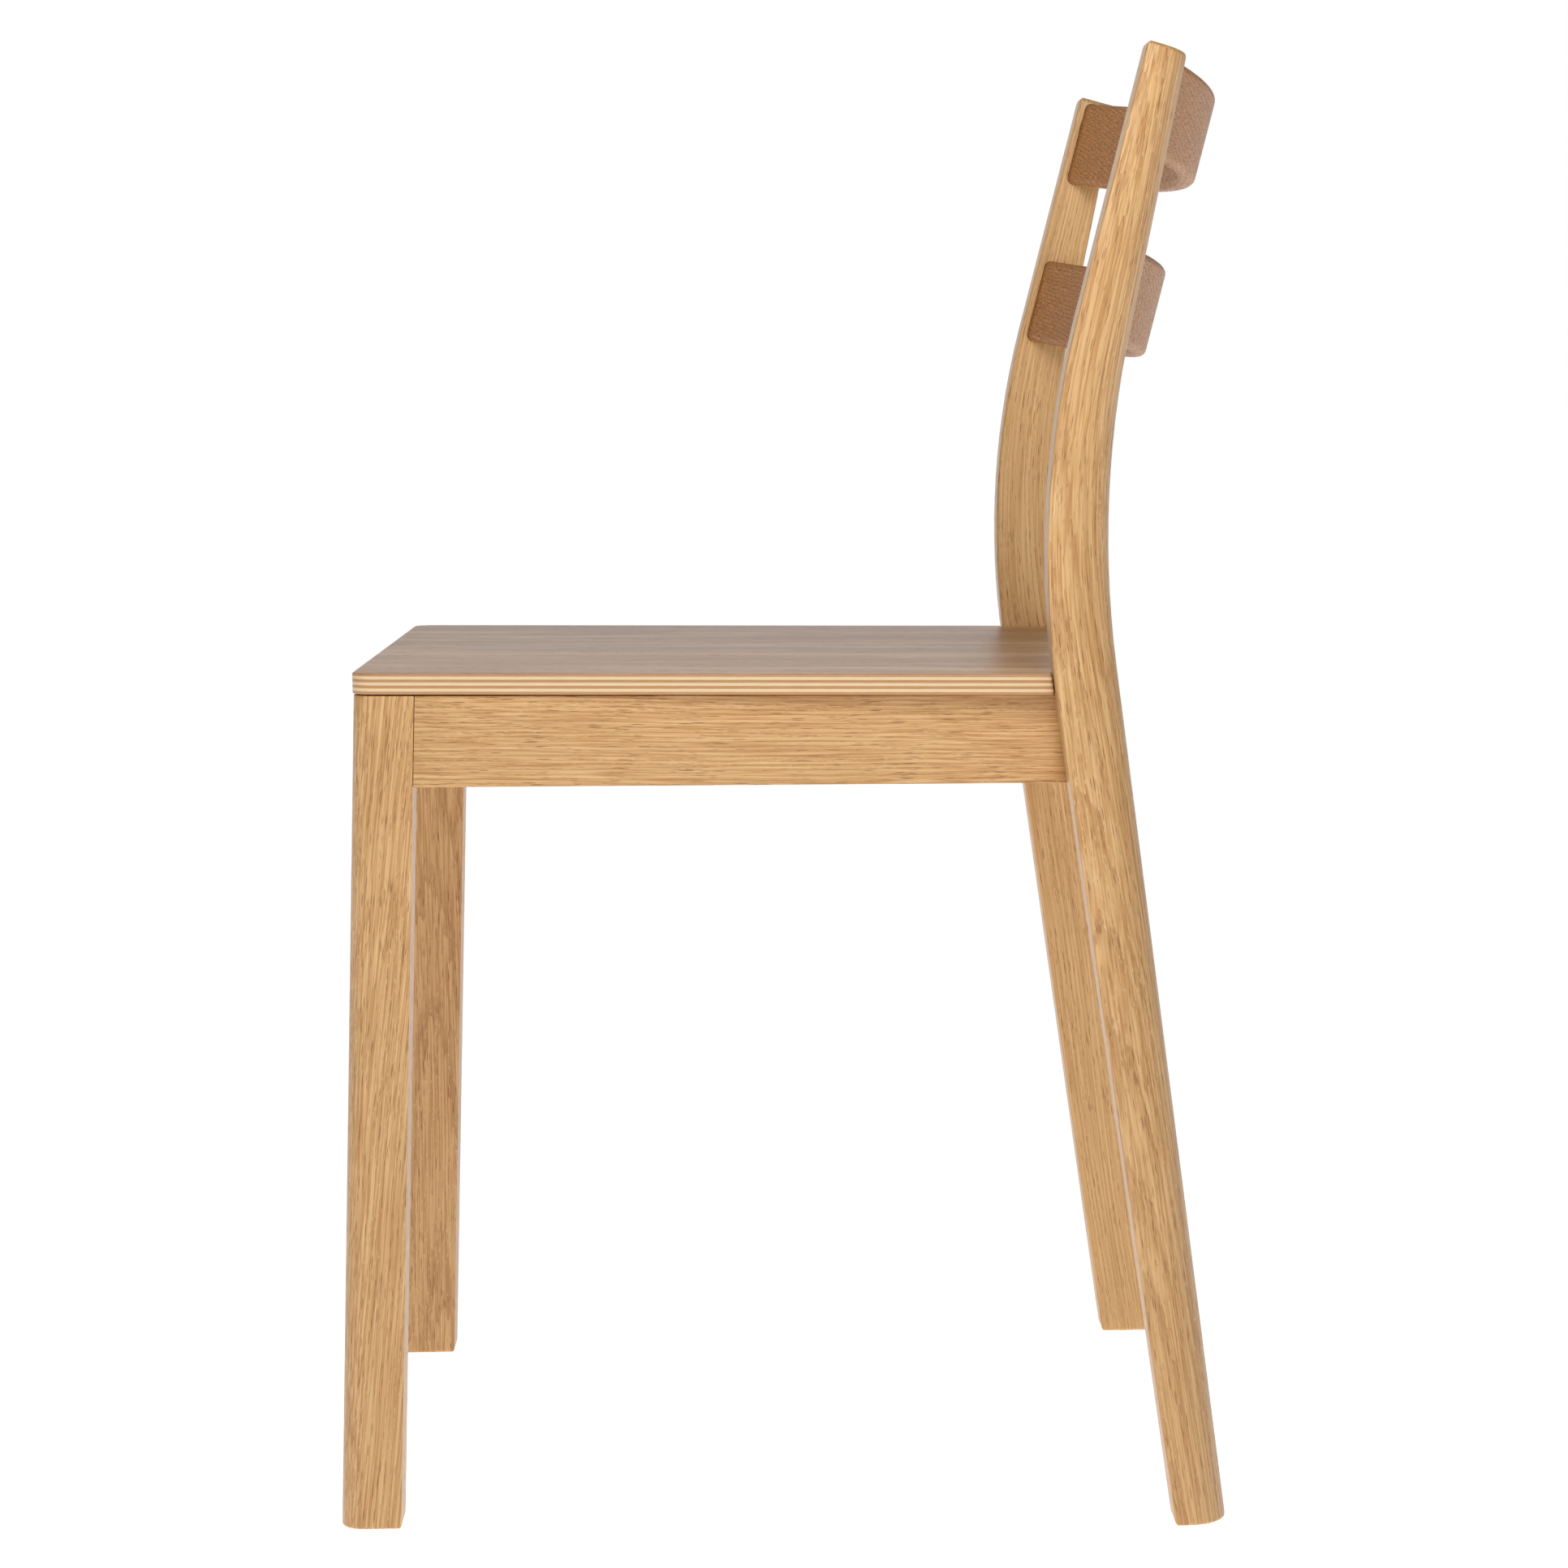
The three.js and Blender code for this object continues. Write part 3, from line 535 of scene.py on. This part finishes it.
on_face = node(tree, "MapRange", {"Value": level, "From Min": 0.6, "From Max": 0.75})
face_pores = node(tree, "Math", {0: pore_mask, 1: on_face}, operation="MULTIPLY")
lacquered(tree, over(tree, veneer_edge(tree), face_colour, on_face), face_pores)
print(plywood.name, "veneer:", round(SEAT_THICKNESS / VENEERS / MM, 2), "mm")

# %% [markdown]
# ## The seat
# The panel is cut to its outline, notched round the two uprights and softened along every edge. Its
# outline comes from the frame, and it falls slightly towards the back. A bevelled solid would do for
# the shape, but rings stacked from the bottom up also give each point its depth, which the striped
# edge needs.

# %% The outline of the seat
SEAT_CORNER = 12 * MM
SEAT_SMALL_CORNER = 1.6 * MM
SEAT_SIDE_LENGTH = 365.8 * MM
SEAT_TOP_ARRIS = 1.0 * MM
SEAT_UNDER_ARRIS = 0.4 * MM
UPRIGHT_GAP = 0.8 * MM
NOTCH_RADIUS = 0.3 * MM
BACK_CLEAR_WIDTH = 426 * MM  # between the rear legs, at the height of the rails
NOTCH_SLANT = tan(radians(6))  # the notch is sawn at the slope of the upright
seat_low, seat_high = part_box("seat_panel")
seat_slope = tan(radians(1.06))


def seat_top(y):
    return seat_high.z - (y - seat_low.y) * seat_slope


def seat_outline(depth):
    half, tongue = seat_high.x, BACK_CLEAR_WIDTH / 2 - UPRIGHT_GAP
    shoulder = seat_low.y + SEAT_SIDE_LENGTH + depth * NOTCH_SLANT
    left = [
        (half, seat_low.y, SEAT_CORNER),
        (half, shoulder, SEAT_SMALL_CORNER),
        (tongue, shoulder, NOTCH_RADIUS),
        (tongue, seat_high.y, SEAT_SMALL_CORNER),
    ]
    return rounded_path(left + [(-x, y, r) for x, y, r in reversed(left)], steps=8)


print("points in the outline of the seat:", len(seat_outline(0.0)))


# %% Build the seat panel
def seat_ring(inset, depth):
    ring = []
    for x, y in moved_in(seat_outline(depth), inset):
        point = Vector((x, y, seat_top(y) - depth))
        ring.append((point, (x, -depth, y)))
    return ring


rings = [seat_ring(inset, SEAT_THICKNESS - off) for inset, off in rounding(SEAT_UNDER_ARRIS)]
rings += [seat_ring(inset, off) for inset, off in reversed(rounding(SEAT_TOP_ARRIS))]
seat = loft("seat", rings, dict(pith=(0.02, 0.055), lean=(0.02, 0.035), start=0.31))
depths = seat.data.attributes.new("depth", "FLOAT", "POINT")
for entry, vertex in zip(depths.data, seat.data.vertices):
    entry.value = seat_top(vertex.co.y) - vertex.co.z
settle(seat, "seat_panel", plywood)

# %% [markdown]
# ## Front legs
# Each front leg is a straight stick that leans its foot a little forward. Its outer front corner is
# turned to a wide radius, and the others are only eased, so that the rail meets it in a fine line.

# %% The sizes of the front leg
FRONT_LEG_DEPTH = 32.5 * MM
FRONT_LEG_ROUND = 13 * MM
FRONT_LEG_EASE = 0.6 * MM
FRONT_LEG_STEPS = 16
FOOT_ARRIS = 2.0 * MM
front_lean = tan(radians(2.29))
front_leg_low, front_leg_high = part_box("front_leg_left")
leg_top = front_leg_high.z
print("front leg:", [round(v, 4) for v in front_leg_high - front_leg_low])


# %% Build the front legs
def front_leg_face(z):
    return front_leg_low.y + (z - front_leg_low.z) * front_lean


def front_leg_ring(side, inset, z):
    low, high = (front_leg_low.x, 0.0), (front_leg_high.x, FRONT_LEG_DEPTH)
    radii = [FRONT_LEG_EASE, FRONT_LEG_ROUND, FRONT_LEG_EASE, FRONT_LEG_EASE]
    ring = []
    for x, y in rectangle(low, high, radii, inset):
        level = z - y * seat_slope * z / leg_top
        ring.append((Vector((side * x, front_leg_face(z) + y, level)), (x - front_leg_low.x, y, z)))
    return ring


def front_leg(name, cad_node, side, wood):
    foot = front_leg_low.z
    ends = [(inset, foot + off) for inset, off in rounding(FOOT_ARRIS)]
    span = leg_top - foot
    middle = [(0.0, foot + span * k / FRONT_LEG_STEPS) for k in range(1, FRONT_LEG_STEPS)]
    top = [(inset, leg_top - off) for inset, off in reversed(rounding(FRONT_LEG_EASE))]
    rings = [front_leg_ring(side, inset, z) for inset, z in ends + middle + top]
    settle(loft(name, rings, wood), cad_node, solid_oak)


slanted_grain = dict(pith=(0.045, 0.06), lean=(0.02, -0.08), start=1.7)
curved_grain = dict(pith=(0.07, -0.02), lean=(0.02, 0.03), start=4.2)
front_leg("front_leg_l", "front_leg_left", 1, slanted_grain)
front_leg("front_leg_r", "front_leg_right", -1, curved_grain)

# %% [markdown]
# ## Rear legs
# Each rear leg is one piece from floor to top. Below the seat it slopes back, above it rakes back, and
# a long bend joins the two. The front and back faces follow their own lines, so the leg is deepest at
# the seat. The outer back corner is turned to a wide radius that is soft to hold.

# %% The sizes of the rear leg
REAR_LEG_SPLAY = tan(radians(7.4))  # feet backward
REAR_LEG_SPREAD = tan(radians(0.89))  # feet outward
SPREAD_HEIGHT = 430 * MM  # where the legs are their clear width apart
REAR_LEG_THICKNESS = 28 * MM
BACK_RAKE = radians(15.13)
BEND_HEIGHT = 540 * MM
BEND_RADIUS_FRONT = 500 * MM
BEND_RADIUS_BACK = 520 * MM
LEG_DEPTH_FOOT = 28.2 * MM
LEG_DEPTH_BEND = 35.5 * MM
LEG_DEPTH_TOP = 23.1 * MM
rear_leg_low, rear_leg_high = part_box("rear_leg_left")
chair_top = rear_leg_high.z


def outward(z):
    return (SPREAD_HEIGHT - z) * REAR_LEG_SPREAD


print("the feet stand out by", round(outward(0.0) / MM, 1), "mm")


# %% A line with a rounded bend
def bent_line(foot, bend, top, radius):
    """y at a height z, along a line from foot to bend to top with the bend rounded. Points are (y, z)."""
    down = (foot - bend).normalized()
    up = (top - bend).normalized()
    half = acos(down.dot(up)) / 2
    start = bend + down * radius / tan(half)
    end = bend + up * radius / tan(half)
    centre = bend + (down + up).normalized() * radius / sin(half)

    def y_at(z):
        if z <= start.y:
            return bend.x + (z - bend.y) * down.x / down.y
        if z >= end.y:
            return bend.x + (z - bend.y) * up.x / up.y
        return centre.x - sqrt(radius**2 - (z - centre.y) ** 2)

    return y_at


sample = bent_line(Vector((0.07, 0.0)), Vector((0.0, 0.54)), Vector((0.06, 0.77)), 0.5)
print("the deepest point of a sample bend:", round(sample(0.54), 4))


# %% The two faces of the rear leg
FACE_SAMPLES = 400


def leg_face(shift, foot, bend, top, radius):
    return bent_line(
        Vector((shift + BEND_HEIGHT * REAR_LEG_SPLAY + foot, 0.0)),
        Vector((shift + bend, BEND_HEIGHT)),
        Vector((shift + (chair_top - BEND_HEIGHT) * tan(BACK_RAKE) + top, chair_top)),
        radius,
    )


heights = [chair_top * k / FACE_SAMPLES for k in range(FACE_SAMPLES + 1)]
unshifted = leg_face(0.0, 0.0, 0.0, 0.0, BEND_RADIUS_FRONT)
bend_y = rear_leg_low.y - min(unshifted(z) for z in heights)
rear_leg_front = leg_face(bend_y, 0.0, 0.0, 0.0, BEND_RADIUS_FRONT)
rear_leg_back = leg_face(bend_y, LEG_DEPTH_FOOT, LEG_DEPTH_BEND, LEG_DEPTH_TOP, BEND_RADIUS_BACK)
print("foot back:", round(rear_leg_back(rear_leg_low.z), 4), "frame:", round(rear_leg_high.y, 4))

# %% One ring of the rear leg
REAR_LEG_ROUND = 22 * MM
REAR_LEG_ARRIS = 2.0 * MM
TOP_ARRIS = 2.5 * MM
REAR_LEG_STEPS = 60


def rear_leg_ring(side, inset, height):
    """One ring. Towards the top it tilts, so that the top is sawn square to the rake."""
    low, high = (0.0, 0.0), (REAR_LEG_THICKNESS, LEG_DEPTH_FOOT)
    radii = [REAR_LEG_ARRIS, REAR_LEG_ARRIS, REAR_LEG_ROUND, REAR_LEG_ARRIS]
    tilt = min(max((height - BEND_HEIGHT) / (chair_top - BEND_HEIGHT), 0.0), 1.0)
    ring = []
    for x, y in rectangle(low, high, radii, inset):
        across = y / LEG_DEPTH_FOOT
        z = height - tilt * across * LEG_DEPTH_TOP * tan(BACK_RAKE)
        front, back = rear_leg_front(z), rear_leg_back(z)
        inner = BACK_CLEAR_WIDTH / 2 + outward(z)
        ring.append((Vector((side * (inner + x), front + across * (back - front), z)), (x, y, z)))
    return ring


print("points in a ring:", len(rear_leg_ring(1, 0.0, BEND_HEIGHT)))


# %% Build the rear legs
def rear_leg(name, cad_node, side, wood, finish=solid_oak):
    foot = rear_leg_low.z
    ends = [(inset, foot + off) for inset, off in rounding(FOOT_ARRIS)]
    span = chair_top - foot
    middle = [(0.0, foot + span * k / REAR_LEG_STEPS) for k in range(1, REAR_LEG_STEPS)]
    top = [(inset, chair_top - off) for inset, off in reversed(rounding(TOP_ARRIS))]
    rings = [rear_leg_ring(side, inset, z) for inset, z in ends + middle + top]
    settle(loft(name, rings, wood), cad_node, finish)


arched_grain = dict(pith=(0.055, -0.014), lean=(-0.03, 0.006), start=2.3)
rear_leg("rear_leg_l", "rear_leg_left", 1, arched_grain)
straight_grain = dict(pith=(0.01, 0.09), lean=(0.004, 0.01), start=6.1)
# The far upright takes the paler oak: a paler board, and painted light that brightens its shaded side.
rear_leg("rear_leg_r", "rear_leg_right", -1, straight_grain, finish=paler_oak_with_painted_light)

# %% [markdown]
# ## Rails
# The rails under the seat are planed flat, and their edges are only eased. The side rails close in
# towards the back and end just inside the uprights.

# %% The sizes of the side rails
RAIL_THICKNESS = 19 * MM
RAIL_HEIGHT_FRONT = 48.1 * MM
RAIL_EASE = 0.4 * MM
RAIL_STEPS = 12
SAWN_EDGE = 0.2 * MM  # the ends are sawn, with hardly any softening
JOINT = 0.3 * MM
REAR_RAIL_SETBACK = 9.4 * MM
side_rail_low, side_rail_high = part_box("side_rail_left")
rail_start = front_leg_face(leg_top) + FRONT_LEG_DEPTH + JOINT
shoulder = seat_low.y + SEAT_SIDE_LENGTH
rail_end = shoulder + REAR_RAIL_SETBACK - JOINT
rail_end_x = BACK_CLEAR_WIDTH / 2 - 2 * JOINT
rail_lowest = side_rail_low.z
print("side rail length:", round(rail_end - rail_start, 4))


# %% The faces of the side rails
def rail_top(y):
    return side_rail_high.z - (y - rail_start) * seat_slope


def rail_bottom(y):
    share = (y - seat_low.y) / (rail_end - seat_low.y)
    front = rail_top(seat_low.y) - RAIL_HEIGHT_FRONT
    return front + (rail_lowest - front) * share


def side_rail_outer(y):
    share = min((y - rail_start) / (shoulder - rail_start), 1.0)
    return side_rail_high.x + (rail_end_x - side_rail_high.x) * share


print("rail height at the front:", round(rail_top(rail_start) - rail_bottom(rail_start), 4))


# %% Build the side rails
def side_rail_ring(side, inset, y, follow_leg):
    x1 = side_rail_outer(y)
    low, high = (x1 - RAIL_THICKNESS, rail_bottom(y)), (x1, rail_top(y))
    ring = []
    for x, z in rectangle(low, high, [RAIL_EASE] * 4, inset):
        lean = (z - leg_top) * front_lean if follow_leg else 0.0
        ring.append((Vector((side * x, y + lean, z)), (x - side_rail_low.x, z - low[1], y + lean)))
    return ring


def side_rail(name, cad_node, side, wood):
    sawn_end = rounding(SAWN_EDGE, steps=1)
    span = shoulder - rail_start
    stations = [(inset, rail_start + off, True) for inset, off in sawn_end]
    stations += [(0.0, rail_start + span * k / RAIL_STEPS, False) for k in range(1, RAIL_STEPS + 1)]
    stations += [(inset, rail_end - off, False) for inset, off in reversed(sawn_end)]
    rings = [side_rail_ring(side, *station) for station in stations]
    settle(loft(name, rings, wood), cad_node, solid_oak)


fine_grain = dict(pith=(0.012, 0.11), lean=(0.01, 0.012), start=3.4)
side_rail("side_rail_l", "side_rail_left", 1, fine_grain)
wide_grain = dict(pith=(0.02, 0.09), lean=(0.02, 0.01), start=5.3)
side_rail("side_rail_r", "side_rail_right", -1, wide_grain)

# %% [markdown]
# ## Front and rear rails
# These two rails tie the left side of the chair to the right. They are plain boards that could be
# plain boxes too, but lofted like the side rails they carry the grain along X, and their top edge can
# fall with the seat.

# %% Build the front and rear rails
def cross_rail(name, cad_node, half_length, wood):
    low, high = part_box(cad_node)
    middle_height = (low.z + high.z) / 2
    sawn_end = rounding(SAWN_EDGE, steps=1)
    stations = [(inset, -half_length + off) for inset, off in sawn_end]
    stations += [(0.0, -half_length + 2 * half_length * k / RAIL_STEPS) for k in range(1, RAIL_STEPS)]
    stations += [(inset, half_length - off) for inset, off in reversed(sawn_end)]
    rings = []
    for inset, x in stations:
        ring = []
        for y, z in rectangle((low.y, low.z), (high.y, high.z), [RAIL_EASE] * 4, inset):
            fall = (y - low.y) * seat_slope if z > middle_height else 0.0
            ring.append((Vector((x, y, z - fall)), (y - low.y, z - low.z, x)))
        rings.append(ring)
    settle(loft(name, rings, wood), cad_node, solid_oak)


front_half = front_leg_low.x - JOINT
rear_half = BACK_CLEAR_WIDTH / 2 - JOINT
cross_rail("front_rail_piece", "front_rail", front_half, dict(pith=(0.09, 0.02), start=7.0))
cross_rail("rear_rail_piece", "rear_rail", rear_half, dict(pith=(0.05, 0.05), start=8.1))

# %% [markdown]
# ## Back slats
# The two slats bow away from the sitter. Each is sawn to an arc from a thick block, so the log runs
# straight along X while the faces curve across it. The ends butt against the uprights.

# %% Build the slats
SLAT_HEIGHT = 50.4 * MM
SLAT_THICKNESS = 10 * MM
SLAT_ARRIS = 4.0 * MM
SLAT_STEPS = 48
UPPER_SLAT_BOW = 46 * MM
LOWER_SLAT_BOW = 43.2 * MM


def slat(name, cad_node, bow, wood):
    low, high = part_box(cad_node)
    foot_y = high.y - (bow + SLAT_THICKNESS) * cos(BACK_RAKE) - SLAT_HEIGHT * sin(BACK_RAKE)
    foot_z = high.z - SLAT_HEIGHT * cos(BACK_RAKE)
    half = BACK_CLEAR_WIDTH / 2 + outward(foot_z) - JOINT
    taper = REAR_LEG_SPREAD * cos(BACK_RAKE) / half
    radius = (half**2 + bow**2) / (2 * bow)
    lift = Matrix.Translation((0, foot_y, foot_z)) @ Matrix.Rotation(-BACK_RAKE, 4, "X")
    rings = []
    for step in range(SLAT_STEPS + 1):
        share = step / SLAT_STEPS - 0.5
        x = half * (0.5 * sin(pi * share) + share)
        front = bow - radius + sqrt(radius**2 - x**2)
        back = bow - radius + sqrt((radius + SLAT_THICKNESS) ** 2 - x**2)
        ring = []
        for y, z in rectangle((front, 0.0), (back, SLAT_HEIGHT), [SLAT_ARRIS] * 4):
            ring.append((lift @ Vector((x * (1 - z * taper), y, z)), (y, z, x)))
        rings.append(ring)
    settle(loft(name, rings, wood), cad_node, slat_oak)


upper_grain = dict(pith=(0.03, 0.05), lean=(0.05, 0.05), start=9.2)
lower_grain = dict(pith=(0.02, 0.04), lean=(0.04, -0.06), start=10.6)
slat("upper_slat", "upper_back_slat", UPPER_SLAT_BOW, upper_grain)
slat("lower_slat", "lower_back_slat", LOWER_SLAT_BOW, lower_grain)

# %% [markdown]
# ## Corner blocks, screws and glides
# Under the seat, beech blocks brace the corners. Zinc-plated screws hold them to the rails and pull
# the seat down, and thin polythene discs keep the feet off the floor. Their shapes in the frame are
# already right, so they stay and only take a finish. Planed beech comes first: it has no lacquer, so
# it looks pinkish and dull, with short darker flecks.

# %% Beech for the corner blocks
beech, tree = new_material("planed_beech")
place = node(tree, "TexCoord").outputs["Object"]
cells = node(tree, "VectorMath", {0: place, 1: per((30 * MM, 1.2 * MM, 1.2 * MM))}, operation="MULTIPLY")
grain = node(tree, "TexNoise", {"Vector": cells, "Scale": 1.0, "Detail": 3.0})
cells = node(tree, "VectorMath", {0: place, 1: per((4 * MM, 1 * MM, 1 * MM))}, operation="MULTIPLY")
specks = node(tree, "TexVoronoi", {"Vector": cells, "Scale": 1.0})
fleck = node(tree, "MapRange", {"Value": specks, "From Min": 0.22, "From Max": 0.05})
colour = over(tree, linear("#c9a27a"), linear("#dcbb96"), grain)
colour = over(tree, colour, linear("#a87a50"), fleck, 0.6)
bump = node(tree, "Bump", {"Strength": 0.3, "Distance": 0.05 * MM, "Height": grain})
look = {"Base Color": colour, "Roughness": 0.6, "Normal": bump}
node(tree, "OutputMaterial", {"Surface": node(tree, "BsdfPrincipled", look)})
print(beech.name, "nodes:", len(tree.nodes))

# %% [markdown]
# ## Zinc-plated screws
# The screws are cold-formed steel with a bright zinc plate, which the eye sees as a cool grey metal
# with a soft and slightly uneven shine. A metal tints its own reflections, so the colour goes into a
# metallic surface, and a fine noise varies both the colour and the roughness.

# %% Zinc plate for the screws
zinc, tree = new_material("zinc_plated_steel")
place = node(tree, "TexCoord").outputs["Object"]
cells = node(tree, "VectorMath", {0: place, 1: per((0.6 * MM,) * 3)}, operation="MULTIPLY")
spangle = node(tree, "TexNoise", {"Vector": cells, "Scale": 1.0, "Detail": 2.0})
metal = over(tree, linear("#b4b6b8"), linear("#d6d8da"), spangle)
satin = node(tree, "Math", {0: spangle, 1: 0.2, 2: 0.22}, operation="MULTIPLY_ADD")
look = {"Base Color": metal, "Metallic": 1.0, "Roughness": satin}
node(tree, "OutputMaterial", {"Surface": node(tree, "BsdfPrincipled", look)})
print(zinc.name, "nodes:", len(tree.nodes))

# %% [markdown]
# ## Polythene glides
# The glides are moulded polythene: milky white, waxy and half dull. A faint haze in the colour and
# the same haze in the bump give that look without any pattern that the eye could follow.

# %% Polythene for the glides
polythene, tree = new_material("moulded_polythene")
place = node(tree, "TexCoord").outputs["Object"]
cells = node(tree, "VectorMath", {0: place, 1: per((2 * MM,) * 3)}, operation="MULTIPLY")
haze = node(tree, "TexNoise", {"Vector": cells, "Scale": 1.0, "Detail": 3.0})
milk = over(tree, linear("#ddd8cc"), linear("#ece8de"), haze)
dents = node(tree, "Bump", {"Strength": 0.2, "Distance": 0.05 * MM, "Height": haze})
look = {"Base Color": milk, "Roughness": 0.45, "Normal": dents}
node(tree, "OutputMaterial", {"Surface": node(tree, "BsdfPrincipled", look)})
print(polythene.name, "nodes:", len(tree.nodes))

# %% Give the hidden pieces their finishes
for word, finish in (("corner_block", beech), ("screw", zinc), ("glide", polythene)):
    hidden = [cad_object for name, cad_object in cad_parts.items() if word in name]
    for cad_object in hidden:
        cad_object.data.materials.clear()
        cad_object.data.materials.append(finish)
    print(word, "pieces:", len(hidden))
